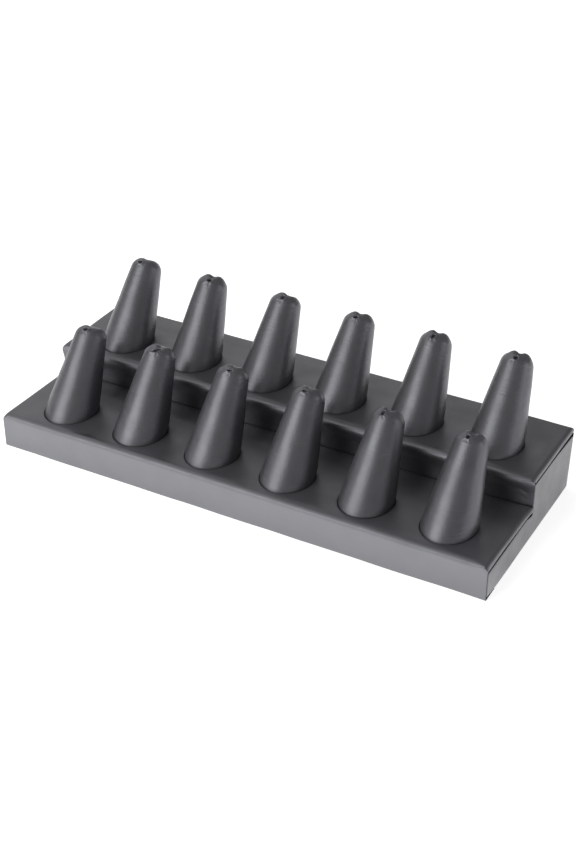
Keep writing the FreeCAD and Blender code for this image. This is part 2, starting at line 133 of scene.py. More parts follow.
def between(tree, value, low, high):
    """A pattern stretched to run between two numbers."""
    node = add_node(tree, "ShaderNodeMapRange", From_Min=0.3, From_Max=0.7, To_Min=low, To_Max=high)
    tree.links.new(value, node.inputs["Value"])
    return node.outputs["Result"]


def shades(tree, value, dark, light):
    """A pattern turned into a colour between two near shades."""
    node = tree.nodes.new("ShaderNodeValToRGB")
    node.color_ramp.elements[0].position = 0.3
    node.color_ramp.elements[0].color = (*dark, 1.0)
    node.color_ramp.elements[1].position = 0.7
    node.color_ramp.elements[1].color = (*light, 1.0)
    tree.links.new(value, node.inputs["Fac"])
    return node.outputs["Color"]


def raise_bumps(tree, shader, height, distance):
    """Add one layer of bumps over the layers that the shader already has."""
    node = add_node(tree, "ShaderNodeBump", Strength=1.0, Distance=distance)
    tree.links.new(height, node.inputs["Height"])
    before = shader.inputs["Normal"]
    if before.is_linked:
        tree.links.new(before.links[0].from_socket, node.inputs["Normal"])
    tree.links.new(node.outputs["Normal"], before)


# %% [markdown]
# The leatherette is a soft-touch coated cloth. From a step away it is plain charcoal with a satin
# gloss. Nearer, it has a very fine pressed grain, a slow unevenness from the board below, and faint
# stretch lines where it is pulled tight. The lines run along the tiers on the covers, and around
# the fingers on the sleeves, so the same recipe takes a stretch and a turn.

# %% Leatherette
CHARCOAL_DARK = (0.042, 0.042, 0.047)
CHARCOAL_LIGHT = (0.052, 0.052, 0.058)
COATING_TINT = (0.93, 0.94, 1.0, 1.0)
COATING_IOR = 1.7
GRAIN_DEPTH = 0.03 * MM


def leatherette(name, stretch, turn, line_depth, slow_depth, gloss):
    """Satin coated cloth with grain, slow unevenness and stretch lines."""
    material, tree, shader = new_material(name)
    plain = pattern_space(tree)
    pulled = pattern_space(tree, scale=stretch, turn=turn)
    clouds = noise_pattern(tree, plain, 60.0, detail=2.0)
    colour = shades(tree, clouds, CHARCOAL_DARK, CHARCOAL_LIGHT)
    tree.links.new(colour, shader.inputs["Base Color"])
    patches = noise_pattern(tree, plain, 140.0, detail=4.0)
    tree.links.new(between(tree, patches, *gloss), shader.inputs["Roughness"])
    shader.inputs["IOR"].default_value = COATING_IOR
    shader.inputs["Specular IOR Level"].default_value = 1.0
    shader.inputs["Specular Tint"].default_value = COATING_TINT
    raise_bumps(tree, shader, noise_pattern(tree, plain, 45.0, detail=1.0), slow_depth)
    raise_bumps(tree, shader, noise_pattern(tree, pulled, 160.0, detail=4.0), line_depth)
    raise_bumps(tree, shader, cell_pattern(tree, plain, 1500.0), GRAIN_DEPTH)
    return material


COVER_LINES = (0.2, 1.0, 1.0)
SLEEVE_LINES = (0.3, 0.3, 8.0)
FINGER_LEAN = math.radians(30.2)
cover_leatherette = leatherette(
    "cover_leatherette", COVER_LINES, (0, 0, 0), 0.14 * MM, 0.8 * MM, gloss=(0.34, 0.42)
)
sleeve_leatherette = leatherette(
    "sleeve_leatherette", SLEEVE_LINES, (FINGER_LEAN, 0, 0), 0.14 * MM, 0.3 * MM, gloss=(0.36, 0.44)
)
print("leatherettes", cover_leatherette.name, sleeve_leatherette.name)

# %% [markdown]
# Where leatherette is cut, its woven backing shows as a nearly black raw edge. The board of the box
# inside is coloured nearly black as painted shade, which keeps the seams between the covers dark, and
# the underside has a black paper lining. These hardly show, but the stand is looked at from below
# too, so each gets its own grain. The foam in the fingers is hidden by the sleeves built below, and
# has its finish ready.

# %% Backing, board, lining and foam
def plain_finish(name, dark, light, roughness, grain_scale, grain_depth, stretch=(1, 1, 1)):
    """A dull finish with one grain that colours it and raises it."""
    material, tree, shader = new_material(name)
    space = pattern_space(tree, scale=stretch)
    grain = noise_pattern(tree, space, grain_scale, detail=6.0, roughness=0.6)
    tree.links.new(shades(tree, grain, dark, light), shader.inputs["Base Color"])
    shader.inputs["Roughness"].default_value = roughness
    raise_bumps(tree, shader, grain, grain_depth)
    return material


cut_edge = plain_finish("leatherette_cut_edge", (0.006,) * 3, (0.014,) * 3, 0.8, 2500.0, 0.0001)
# The board's near-black colour is painted shade, so that the seams between the covers show dark.
seam_shade_board = plain_finish(
    "black_board", (0.012, 0.011, 0.010), (0.024, 0.022, 0.020), 0.9, 900.0, 0.0001,
    stretch=(0.3, 1, 1),
)
lining_finish = plain_finish("lining_paper", (0.012,) * 3, (0.022,) * 3, 0.75, 1800.0, 0.00008)
foam_finish = plain_finish("foam", (0.42, 0.40, 0.34), (0.62, 0.60, 0.52), 0.95, 1400.0, 0.0003)

INSIDE = {
    seam_shade_board: [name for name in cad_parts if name.endswith("_board")],
    lining_finish: ["base_lining"],
    foam_finish: [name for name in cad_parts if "_core_" in name],
}
for finish, names in INSIDE.items():
    for name in names:
        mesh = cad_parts[name].data
        mesh.materials.clear()
        mesh.materials.append(finish)
    print(finish.name, len(names), "nodes")

# %% [markdown]
# The next helpers turn a bmesh into a finished piece, and move its vertices as a sculptor's tools
# would: a press along a line makes a crease, and a soft pull moves everything near a point.

# %% Helpers for pieces
def finished_piece(bm, name, materials, sharp_above=40.0):
    """Close the seams, turn the faces outwards and link the piece as an object at the origin."""
    bmesh.ops.remove_doubles(bm, verts=bm.verts, dist=0.002 * MM)
    bmesh.ops.recalc_face_normals(bm, faces=bm.faces)
    highest = max(bm.faces, key=lambda face: face.calc_center_median().z)
    if highest.normal.z < 0:
        bmesh.ops.reverse_faces(bm, faces=bm.faces)
    for face in bm.faces:
        face.smooth = True
    for edge in bm.edges:
        if edge.is_manifold and edge.calc_face_angle() > math.radians(sharp_above):
            edge.smooth = False
    mesh = bpy.data.meshes.new(name)
    bm.to_mesh(mesh)
    bm.free()
    for material in materials:
        mesh.materials.append(material)
    piece = bpy.data.objects.new(name, mesh)
    bpy.context.scene.collection.objects.link(piece)
    print(name, len(mesh.vertices), "vertices")
    return piece


def near_segment(point, start, end):
    """The distance from a point to a straight piece of line, and how far along it lies, 0 to 1."""
    line = end - start
    share = max(0.0, min(1.0, (point - start).dot(line) / line.length_squared))
    return (point - start - line * share).length, share


def press(bm, path, width, depth, ends=0.0, roundness=1.5):
    """Press a crease along a path into the surface.

    Ends is how much it fades at both ends. Its floor is round at a roundness of 2 and a sharp
    fold at 1.
    """
    bm.normal_update()
    count = len(path) - 1
    moves = []
    for vert in bm.verts:
        best, along = min(
            (near_segment(vert.co, path[number], path[number + 1])[0], number)
            for number in range(count)
        )
        if best < 3 * width:
            share = near_segment(vert.co, path[along], path[along + 1])[1]
            place = (along + share) / count
            fade = 1.0 - ends * abs(2 * place - 1.0) ** 3
            moves.append((vert, depth * fade * math.exp(-((best / width) ** roundness))))
    for vert, amount in moves:
        vert.co -= vert.normal * amount


def pull(bm, centre, reach, offset):
    """Move the surface near a point, most at the point and less and less around it."""
    for vert in bm.verts:
        share = (vert.co - centre).length / reach
        if share < 1.0:
            vert.co += offset * (1.0 - share * share) ** 2


def wave(bm, size, height, seed):
    """A slow, even unevenness along the normals, from smooth noise."""
    bm.normal_update()
    shift = Vector((seed, 0.37 * seed, 0.71 * seed))
    for vert in bm.verts:
        vert.co += vert.normal * height * noise.noise(vert.co / size + shift)


def spot(x, y, z):
    """A point given in millimetres."""
    return Vector((x, y, z)) * MM


# %% [markdown]
# A finger is a tapered roll of foam in a leatherette sleeve. It could be carved from a cylinder,
# but it is really a turned shape: a flat crown, a round shoulder and a straight taper. So its
# outline is drawn once, with the shoulder spun from a single point, and the outline is spun around
# the axis like a skittle on a lathe. The rings are then slid down the taper until the lowest one
# lies flat on the tier, because the finger leans back.

# %% The turned finger
ROOT_RADIUS = 11.4 * MM
CROWN_RADIUS = 6.27 * MM
FINGER_LENGTH = 36.5 * MM
SHOULDER_RADIUS = 4.8 * MM
TAPER = (ROOT_RADIUS - CROWN_RADIUS) / FINGER_LENGTH
TAPER_ANGLE = math.atan(TAPER)
SHOULDER_TURN = math.pi / 2 - TAPER_ANGLE
CROWN_FLAT = CROWN_RADIUS - SHOULDER_RADIUS * (1 - math.sin(TAPER_ANGLE)) / math.cos(TAPER_ANGLE)
SHOULDER_LEVEL = FINGER_LENGTH - SHOULDER_RADIUS
FOOT_DEPTH = 4.2 * MM
TURNS = 96


def finger_outline(bm):
    """Half the outline of a finger: crown, shoulder and taper, as a line of edges."""
    pole = bm.verts.new((0, 0, FINGER_LENGTH))
    grown = bmesh.ops.extrude_vert_indiv(bm, verts=[pole])
    bmesh.ops.translate(bm, verts=grown["verts"], vec=(CROWN_FLAT, 0, 0))
    shoulder = bmesh.ops.spin(
        bm, geom=grown["verts"], cent=(CROWN_FLAT, 0, SHOULDER_LEVEL), axis=(0, 1, 0),
        angle=SHOULDER_TURN, steps=24,
    )
    last = [item for item in shoulder["geom_last"] if isinstance(item, bmesh.types.BMVert)]
    side = bmesh.ops.extrude_vert_indiv(bm, verts=last)
    side["verts"][0].co = (ROOT_RADIUS, 0, 0)
    bmesh.ops.subdivide_edges(bm, edges=grown["edges"], cuts=6)
    bmesh.ops.subdivide_edges(bm, edges=side["edges"], cuts=26)
    return bm.verts[:] + bm.edges[:]


def level_on_taper(across):
    """Where the tier's flat top meets the taper, on the side that faces a given way."""
    reach = across * math.tan(FINGER_LEAN)
    return ROOT_RADIUS * reach / (1 + TAPER * reach)


def slide_down(bm):
    """Slide the rings along the taper, so that the lowest lies in the tier's top."""
    start = SHOULDER_LEVEL + SHOULDER_RADIUS * math.sin(TAPER_ANGLE)
    for vert in bm.verts:
        radius = math.hypot(vert.co.x, vert.co.y)
        if vert.co.z < start - 1e-7 and radius > 0:
            share = 1 - vert.co.z / start
            level = start - share * (start - level_on_taper(vert.co.y / radius))
            scale = (ROOT_RADIUS - TAPER * level) / radius
            vert.co = Vector((vert.co.x * scale, vert.co.y * scale, level))


def turned_finger():
    """The whole turned shape, with its lowest ring ready for the tier."""
    bm = bmesh.new()
    outline = finger_outline(bm)
    bmesh.ops.spin(
        bm, geom=outline, cent=(0, 0, 0), axis=(0, 0, 1), angle=2 * math.pi, steps=TURNS,
        use_merge=True,
    )
    bmesh.ops.remove_doubles(bm, verts=bm.verts, dist=0.002 * MM)
    slide_down(bm)
    return bm


# %% [markdown]
# At the tip the sleeve is closed by gathering it. A fold runs over the tip from front to back and
# parts it into two rounded lobes, and it starts in a small puckered hole with a rolled lip, just
# below the tip on the front. No two fingers are gathered alike, so each has its own numbers. The
# shapes are pressed with the sculptor's helpers in the finger's own space: X across, Y from front
# to back, Z along the axis.

# %% The gathered tip
def on_shoulder(tilt, around):
    """A point of the tip, a tilt in degrees away from the axis, and an angle round from the front."""
    radius = CROWN_FLAT + SHOULDER_RADIUS * math.sin(math.radians(tilt))
    level = SHOULDER_LEVEL + SHOULDER_RADIUS * math.cos(math.radians(tilt))
    turn = math.radians(around)
    return Vector((radius * math.sin(turn), -radius * math.cos(turn), level))


LIP_HEIGHT = 0.5 * MM
HOLE_DEPTH = 0.9 * MM
GATHER_COUNT = 7
GATHER_HEIGHT = 0.09 * MM


def pucker(bm, centre, wide, tall, turn, high_side):
    """Sink an oval hole that slants in under its high side, with a rolled lip and gathers."""
    bm.normal_update()
    out = (centre - Vector((0, 0, SHOULDER_LEVEL))).normalized()
    across = Vector((0, 0, 1)).cross(out).normalized()
    up = out.cross(across)
    high = math.radians(high_side)
    slant = out - (across * math.cos(high) + up * math.sin(high)) * 0.4
    spin = Matrix.Rotation(math.radians(turn), 3, out)
    long_way = spin @ across
    short_way = spin @ up
    moves = []
    for vert in bm.verts:
        offset = vert.co - centre
        if offset.length < 5 * MM:
            ring = math.hypot(offset.dot(long_way) / wide, offset.dot(short_way) / tall)
            around = math.atan2(offset.dot(up), offset.dot(across))
            beyond = offset.length * (1 - 1 / max(ring, 1e-6)) / MM
            hole = HOLE_DEPTH / (1 + math.exp(min(60.0, (ring - 0.85) * 9)))
            uneven = 1 + 0.6 * math.cos(around - high)
            roll = LIP_HEIGHT * uneven * math.exp(-(((beyond - 0.55) / 0.42) ** 2))
            folds = math.cos(GATHER_COUNT * around + 1.5 * math.sin(2 * around + turn))
            folds *= GATHER_HEIGHT * math.exp(-(((beyond - 1.2) / 0.8) ** 2))
            moves.append((vert, out * (roll + folds) - slant * hole))
    for vert, move in moves:
        vert.co += move


def fingertip(pucker_at, hole, turn, fold, depth, hood, lobe, high_side=110):
    """One tip's own numbers: degrees for the places and turns, millimetres for the sizes."""
    return {
        "pucker": pucker_at, "hole": hole, "turn": turn, "fold": fold, "depth": depth,
        "hood": hood, "lobe": lobe, "high_side": high_side,
    }


FINGERTIPS = {
    "upper_1": fingertip((52, -3), (0.75, 0.42), 5, 0.8, 0.6, 0.35, 0.1),
    "upper_2": fingertip((56, 12), (1.0, 0.34), 24, 0.9, 1.5, 0.75, 0.6, 130),
    "upper_3": fingertip((48, 6), (0.6, 0.8), -20, 1.8, 1.1, 0.7, 0.1, 60),
    "upper_4": fingertip((53, 4), (0.85, 0.34), 8, 0.4, 1.5, 0.7, 0.5, 110),
    "upper_5": fingertip((50, 2), (0.5, 0.95), -25, 0.4, 1.5, 0.95, 0.6, 120),
    "upper_6": fingertip((51, 6), (0.7, 0.48), 40, 0.2, 1.9, 1.0, 0.8, 140),
    "lower_1": fingertip((48, 2), (0.8, 0.45), 20, 0.0, 0.8, 0.35, 0.1, 100),
    "lower_2": fingertip((56, 10), (2.1, 0.36), 32, 1.4, 0.8, 0.8, 0.3, 120),
    "lower_3": fingertip((52, 10), (1.1, 0.3), 10, 0.3, 0.6, 0.7, 0.2, 110),
    "lower_4": fingertip((49, 2), (1.1, 0.3), 4, 0.9, 0.8, 0.6, 0.1, 110),
    "lower_5": fingertip((49, -6), (0.48, 1.0), -18, 0.5, 1.2, 0.9, 0.2, 120),
    "lower_6": fingertip((48, -1), (0.8, 0.55), -15, 0.9, 1.1, 0.9, 0.4, 80),
}
LOBE = spot(3.1, -0.3, 36.0)
RIGHT_SHOULDER = spot(5.8, 0, 34.0)


def gather_tip(bm, tip):
    """Raise the hood and the lobe beside it, press the fold between them and sink the hole."""
    tilt, around = tip["pucker"]
    mouth = on_shoulder(tilt, around)
    pull(bm, RIGHT_SHOULDER, 5 * MM, spot(-0.1, 0, -0.2))
    pull(bm, on_shoulder(tilt - 30, around - 25), 3.5 * MM, spot(0, 0, tip["hood"]))
    pull(bm, LOBE, 4.2 * MM, spot(0, 0, tip["lobe"]))
    top = Vector((tip["fold"] * MM, 0, FINGER_LENGTH))
    near = on_shoulder(24, around) * 0.2 + mouth * 0.2 + top * 0.6
    fold = [mouth, near, top, on_shoulder(30, 180 - 2 * tip["fold"]), on_shoulder(75, 180)]
    press(bm, fold, 0.65 * MM, tip["depth"] * MM, ends=0.5, roundness=1.2)
    wide, tall = tip["hole"]
    pucker(bm, mouth, wide * MM, tall * MM, tip["turn"], tip["high_side"])
    smile = [on_shoulder(tilt + 24, around + side) for side in (-22, 0, 22)]
    press(bm, smile, 0.55 * MM, 0.12 * MM, ends=1.0)


# %% [markdown]
# Each finger now leans back on its tier, and its lowest ring is drawn straight down through the
# hole in the deck. Just above the tier the sleeve is tucked in a little, where the glue holds it,
# which makes the dark line round its foot. The sleeves are tight on their foam. They are stiff rolls
# with no slack cloth, so they are shaped one by one and not simulated.

# %% Lean the fingers back and plant them
FOOT_TUCK = 0.5 * MM
TUCK_HEIGHT = 4 * MM


def plant(bm):
    """Lean the finger back and draw its lowest ring down through the deck."""
    bmesh.ops.rotate(
        bm, verts=bm.verts, cent=(0, 0, 0), matrix=Matrix.Rotation(-FINGER_LEAN, 3, "X")
    )
    for vert in bm.verts:
        if vert.co.z < TUCK_HEIGHT:
            share = 1 - max(0.0, vert.co.z) / TUCK_HEIGHT
            outward = Vector((vert.co.x, vert.co.y, 0)).normalized()
            vert.co -= outward * FOOT_TUCK * share ** 2
    rim = [edge for edge in bm.edges if edge.is_boundary]
    for drop in (0.8, 1.6, FOOT_DEPTH / MM - 2.4):
        grown = bmesh.ops.extrude_edge_only(bm, edges=rim)
        verts = [item for item in grown["geom"] if isinstance(item, bmesh.types.BMVert)]
        rim = [item for item in grown["geom"] if isinstance(item, bmesh.types.BMEdge)]
        bmesh.ops.translate(bm, verts=verts, vec=(0, 0, -drop * MM))
    bmesh.ops.holes_fill(bm, edges=rim, sides=0)


FOOT_SKEW = TAPER * math.tan(FINGER_LEAN)
FOOT_HALF_DEPTH = ROOT_RADIUS / (math.cos(FINGER_LEAN) * (1 - FOOT_SKEW ** 2))
FOOT_HALF_WIDTH = ROOT_RADIUS / math.sqrt(1 - FOOT_SKEW ** 2)
FOOT_SHIFT = FOOT_HALF_DEPTH * FOOT_SKEW
TIP_SWAY = {"upper_2": -1.1, "upper_3": 0.2, "upper_5": -0.3, "upper_6": -0.2, "lower_1": 0.2}
tier_top = {
    "lower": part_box("lower_tier_cover")[1].z,
    "upper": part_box("upper_tier_cover")[1].z,
}


def finger_root(tier, number):
    """Where the axis of a finger meets its tier."""
    low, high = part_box(f"{tier}_finger_sleeve_{number}")
    across = (low.x + high.x) / 2
    return Vector((across, low.y + FOOT_HALF_DEPTH + FOOT_SHIFT, tier_top[tier]))


def sway(bm, amount):
    """Let the finger drift sideways towards its tip."""
    for vert in bm.verts:
        if vert.co.z > 0:
            vert.co.x += amount * (vert.co.z / FINGER_LENGTH) ** 1.2


fingers = []
for tier in ("lower", "upper"):
    for number in range(1, 7):
        key = f"{tier}_{number}"
        bm = turned_finger()
        gather_tip(bm, FINGERTIPS[key])
        wave(bm, 9 * MM, 0.12 * MM, 3.1 * number + (7.7 if tier == "upper" else 0.0))
        sway(bm, TIP_SWAY.get(key, 0.0) * MM)
        plant(bm)
        bmesh.ops.translate(bm, verts=bm.verts, vec=finger_root(tier, number))
        finger = finished_piece(bm, f"{tier}_finger_{number}", [sleeve_leatherette], 80.0)
        smooth = finger.modifiers.new("smooth", "SUBSURF")
        smooth.levels = 1
        smooth.render_levels = 1
        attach(finger, "root")
        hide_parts(f"{tier}_finger_sleeve_{number}", f"{tier}_finger_core_{number}")
        fingers.append(finger)
print(len(fingers), "fingers planted")

# %% [markdown]
# Each tier is covered by one sheet of leatherette, which rolls over the ends of the deck and comes
# down over its front. A sheet bent by hand would need every fold placed; instead a thin box is
# opened, and a bevel rounds the upper edges that roll over. Skirts are then drawn out from its free
# edges, and saw cuts across it give the later creases and dents enough points to work on.

# %% Helpers for the covers
def open_box(low, high, open_sides):
    """A box without the sides that face the given ways."""
    bm = bmesh.new()
    bmesh.ops.create_cube(bm, size=1.0)
    bmesh.ops.scale(bm, verts=bm.verts, vec=high - low)
    bmesh.ops.translate(bm, verts=bm.verts, vec=(high + low) / 2)
    bm.normal_update()
    gone = [face for face in bm.faces if any(face.normal.dot(way) > 0.9 for way in open_sides)]
    bmesh.ops.delete(bm, geom=gone, context="FACES")
    return bm


def lies_at(edge, **where):
    """Whether both ends of an edge lie at the given coordinates, in metres."""
    return all(
        abs(getattr(vert.co, axis) - value) < 0.01 * MM
        for vert in edge.verts
        for axis, value in where.items()
    )


def round_edges(bm, edges, radius, segments):
    """Round edges with a circular bevel."""
    bmesh.ops.bevel(
        bm, geom=edges, offset=radius, offset_type="OFFSET", segments=segments, profile=0.5,
        affect="EDGES", material=-1, clamp_overlap=False,
    )


def draw_out(bm, edges, *steps):
    """Draw a free edge out in one or more straight steps, and give back its last edges."""
    for step in steps:
        grown = bmesh.ops.extrude_edge_only(bm, edges=edges)
        verts = [item for item in grown["geom"] if isinstance(item, bmesh.types.BMVert)]
        edges = [item for item in grown["geom"] if isinstance(item, bmesh.types.BMEdge)]
        bmesh.ops.translate(bm, verts=verts, vec=step)
    return edges


def saw(bm, axis, places):
    """Cut the whole mesh across at several places along an axis."""
    for place in places:
        normal = Vector((0, 0, 0))
        normal[axis] = 1.0
        everything = bm.verts[:] + bm.edges[:] + bm.faces[:]
        bmesh.ops.bisect_plane(
            bm, geom=everything, dist=0.001 * MM, plane_co=normal * place, plane_no=normal
        )


def spread(start, end, count):
    """Evenly spaced places from start to end."""
    return [start + (end - start) * number / count for number in range(count + 1)]


# %% [markdown]
# Each finger stands in a hole. The leatherette dips into it with a rolled rim. The rim is an
# ellipse drawn up out of the hole in rings, and it is bridged to a window sawn in the tier's top,
# with as many points on the window as on the rim, so the bridge is all clean four-sided faces.

# %% Finger holes
HOLE_GAP = 0.1 * MM - FOOT_TUCK
RIM_RADIUS = 0.4 * MM
RIM_FORWARD = 0.08 * MM
RIM_DEPTH = 2.2 * MM
RIM_MARGIN = 0.5 * MM
HOLE_POINTS = 48
WINDOW_CUTS = HOLE_POINTS // 4


def quarter_round(radius):
    """Four steps of a quarter round: how far out each lies, and how far it is from the flat."""
    turns = [step * math.pi / 8 for step in range(1, 5)]
    return [(radius * (1 - math.cos(turn)), radius * (1 - math.sin(turn))) for turn in turns]


def grow_ring(bm, edges, centre, before, after, level):
    """Draw an elliptical ring out to new half sizes and a new level."""
    grown = bmesh.ops.extrude_edge_only(bm, edges=edges)
    verts = [item for item in grown["geom"] if isinstance(item, bmesh.types.BMVert)]
    for vert in verts:
        offset = vert.co - centre
        vert.co.x = centre.x + offset.x * after[0] / before[0]
        vert.co.y = centre.y + offset.y * after[1] / before[1]
        vert.co.z = level
    return [item for item in grown["geom"] if isinstance(item, bmesh.types.BMEdge)]


def rolled_rim(bm, centre, top):
    """The rolled rim of one finger hole; gives back the edges of its outermost ring."""
    half = [FOOT_HALF_WIDTH + HOLE_GAP, FOOT_HALF_DEPTH + HOLE_GAP]
    made = bmesh.ops.create_circle(bm, cap_ends=False, segments=HOLE_POINTS, radius=1.0)
    for vert in made["verts"]:
        turn = math.atan2(vert.co.y, vert.co.x)
        vert.co = centre + Vector((half[0] * math.cos(turn), half[1] * math.sin(turn), 0))
        vert.co.z = top - RIM_DEPTH
    edges = list({edge for vert in made["verts"] for edge in vert.link_edges})
    rings = [(0.0, RIM_RADIUS), *quarter_round(RIM_RADIUS), (RIM_RADIUS + RIM_MARGIN, 0.0)]
    before = half
    for grow, drop in rings:
        after = [half[0] + grow, half[1] + grow]
        edges = grow_ring(bm, edges, centre, before, after, top - drop)
        before = after
    return edges


def in_order(verts):
    """The different vertices of a loop, anticlockwise from the one straight to the right."""
    verts = list(dict.fromkeys(verts))
    places = [vert.co for vert in verts]
    middle = (Vector(map(min, *places)) + Vector(map(max, *places))) / 2

    def turn_of(vert):
        """The angle round the middle of the loop, with a little slack to the right."""
        return (math.atan2(vert.co.y - middle.y, vert.co.x - middle.x) + 0.01) % (2 * math.pi)

    return sorted(verts, key=turn_of)


def finger_windows(bm, tier, low_y, high_y, pitch):
    """Open a window for each finger in the tier's top and stretch a rolled rim to it."""
    top = tier_top[tier]
    for number in range(1, 7):
        root = finger_root(tier, number)
        centre = Vector((root.x, root.y - FOOT_SHIFT - RIM_FORWARD, top))
        inside = []
        for face in bm.faces:
            middle = face.calc_center_median()
            across = abs(middle.x - root.x) < pitch / 2
            if across and low_y < middle.y < high_y and abs(middle.z - top) < 0.01 * MM:
                inside.append(face)
        outline = {edge for face in inside for edge in face.edges}
        outline = [edge for edge in outline if sum(f in inside for f in edge.link_faces) == 1]
        bmesh.ops.delete(bm, geom=inside, context="FACES")
        ring = rolled_rim(bm, centre, top)
        window = in_order([vert for edge in outline for vert in edge.verts])
        grown = bmesh.ops.extrude_edge_only(bm, edges=ring)
        outer = [item for item in grown["geom"] if isinstance(item, bmesh.types.BMVert)]
        rungs = {edge for vert in outer for edge in vert.link_edges} - set(grown["geom"])
        for vert, target in zip(in_order(outer), window):
            vert.co = target.co
        bmesh.ops.subdivide_edges(bm, edges=list(rungs), cuts=3)
        bmesh.ops.remove_doubles(bm, verts=bm.verts, dist=0.002 * MM)


# %% [markdown]
# The front edge of each tier is a broad soft round, steeper and steeper towards the front, and
# tighter near the corners, where the deck board holds the leatherette up. The top is made flat
# first and its front is then lowered along that outline, which keeps the saw cuts and the finger
# windows simple. The wall below is drawn down from the lowered edge in small steps. The lips that
# turn in under the ends are set back a little, so that the wall hides their raw edges.

# %% Helpers for the rounded front edges
SEAT_BELOW_TOP = 2.5 * MM
ROUND_REACH = 3.6 * MM
FIRST_SLOPE = 0.12
ROUNDNESS = 2.75
END_ROUNDNESS = 2.25
END_REACH = 7.0 * MM
LIP_ZONE = 0.6 * MM
LIP_SET_BACK = 1.5 * MM
FRONT_STRIPS = 14


def round_fall(depth, inset):
    """The share of the edge's height that is lost at a depth behind the front, near the ends less."""
    share = max(0.0, min(1.0, 1 - depth / ROUND_REACH))
    power = ROUNDNESS + END_ROUNDNESS * max(0.0, 1 - inset / END_REACH)
    curve = 1 - (1 - share ** power) ** (1 / power)
    return FIRST_SLOPE * share + (1 - FIRST_SLOPE) * curve


def smooth_step(share):
    """A smooth rise from 0 to 1."""
    share = max(0.0, min(1.0, share))
    return share * share * (3 - 2 * share)


def rounded_front(bm, front_y, seat, half_length):
    """Lower the front of the top along the round, tuck in its lips, give back its free edge."""
    free_edge = [
        edge for edge in bm.edges
        if edge.is_boundary and lies_at(edge, y=front_y)
        and min(vert.co.z for vert in edge.verts) > seat + LIP_ZONE
    ]
    for vert in bm.verts:
        inset = half_length - abs(vert.co.x)
        if vert.co.z > seat + LIP_ZONE and vert.co.y < front_y + ROUND_REACH:
            vert.co.z -= (vert.co.z - seat) * round_fall(vert.co.y - front_y, inset)
        elif vert.co.y < front_y + 1 * MM:
            vert.co.y += LIP_SET_BACK
    return free_edge


def draw_wall(bm, edges, places):
    """Draw a free edge through a row of places, each a (y, z) pair, and give back its last edges."""
    for (old_y, old_z), (new_y, new_z) in zip(places, places[1:]):
        edges = draw_out(bm, edges, Vector((0, new_y - old_y, new_z - old_z)))
    return edges


def tilt_top(bm, seat, front_y, rear_y, front_rise, rear_rise):
    """Lift or sink the top of a cover along its depth."""
    for vert in bm.verts:
        if vert.co.z > seat:
            share = (vert.co.y - front_y) / (rear_y - front_y)
            weight = min(1.0, (vert.co.z - seat) / (2 * MM))
            vert.co.z += weight * (front_rise + (rear_rise - front_rise) * share)


def front_saws(bm, front_y, window_front):
    """Saw the rounded front zone into narrow strips, narrowest at the front."""
    saw(bm, 1, [front_y + step * MM for step in (0.05, 0.1, 0.3, 0.5)])
    saw(bm, 1, spread(front_y, window_front, FRONT_STRIPS)[1:-1])


# %% [markdown]
# The lower cover is the hem folded under the front, the front face, the rounded front edge, the
# top, and a short lip rolled over each end. Its top is not quite level: it stands a little proud at
# the front edge and sinks towards the riser.

# %% The lower cover
COVER_THICKNESS = 0.5 * MM
ROLL_RADIUS = 1.8 * MM
LIP_RADIUS = 0.5 * MM
FOLD_RADIUS = 0.7 * MM
HEM = 8.8 * MM
TURN_IN = 3.0 * MM
WINDOW_FROM_FRONT = 3.0 * MM
WINDOW_MARGIN = 2.6 * MM
UP = Vector((0, 0, 1))
BACKWARD = Vector((0, 1, 0))
lower_low, lower_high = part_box("lower_tier_cover")
half_length = lower_high.x
front = lower_low.y
first_root = finger_root("lower", 1)
pitch = finger_root("lower", 2).x - first_root.x
window_ends = [first_root.x - pitch / 2 + pitch * number for number in range(7)]


def station_places(extra_near_ends):
    """Places along X for the saw: steps across each window, and some near the ends."""
    places = []
    for start, end in zip(window_ends, window_ends[1:]):
        places += spread(start, end, WINDOW_CUTS)[:-1]
    places.append(window_ends[-1])
    for inset in extra_near_ends:
        places += [-half_length + inset, half_length - inset]
    return places


END_STEPS = [step * MM for step in (0.7, 1.4, 2.0, 3.4, 4.2, 5.0)]
lower_top = tier_top["lower"]
lower_seat = lower_top - SEAT_BELOW_TOP
lower_rear = lower_high.y - 0.15 * MM
window_front = front + WINDOW_FROM_FRONT
window_rear = finger_root("lower", 1).y - FOOT_SHIFT + FOOT_HALF_DEPTH + WINDOW_MARGIN

bm = open_box(
    Vector((-half_length, front, lower_seat)), Vector((half_length, lower_rear, lower_top)),
    [-UP, BACKWARD, -BACKWARD],
)
rolled = [
    edge for edge in bm.edges
    if lies_at(edge, z=lower_top) and abs(edge.verts[0].co.x - edge.verts[1].co.x) < 1 * MM
]
round_edges(bm, rolled, ROLL_RADIUS, 6)
for side in (-1, 1):
    lip = [edge for edge in bm.edges if lies_at(edge, x=side * half_length, z=lower_seat)]
    draw_out(bm, lip, Vector((-side * TURN_IN, 0, 0)))
    lip = [edge for edge in bm.edges if lies_at(edge, x=side * half_length, z=lower_seat)]
    round_edges(bm, [edge for edge in lip if edge.is_manifold], LIP_RADIUS, 3)
tail = [edge for edge in bm.edges if edge.is_boundary and lies_at(edge, y=lower_rear, z=lower_top)]
draw_out(bm, tail, BACKWARD * 0.1 * MM - UP * 1.6 * MM)
tail = [edge for edge in bm.edges if lies_at(edge, y=lower_rear, z=lower_top)]
round_edges(bm, tail, 0.45 * MM, 3)
print("lower cover", len(bm.faces), "faces before sawing")

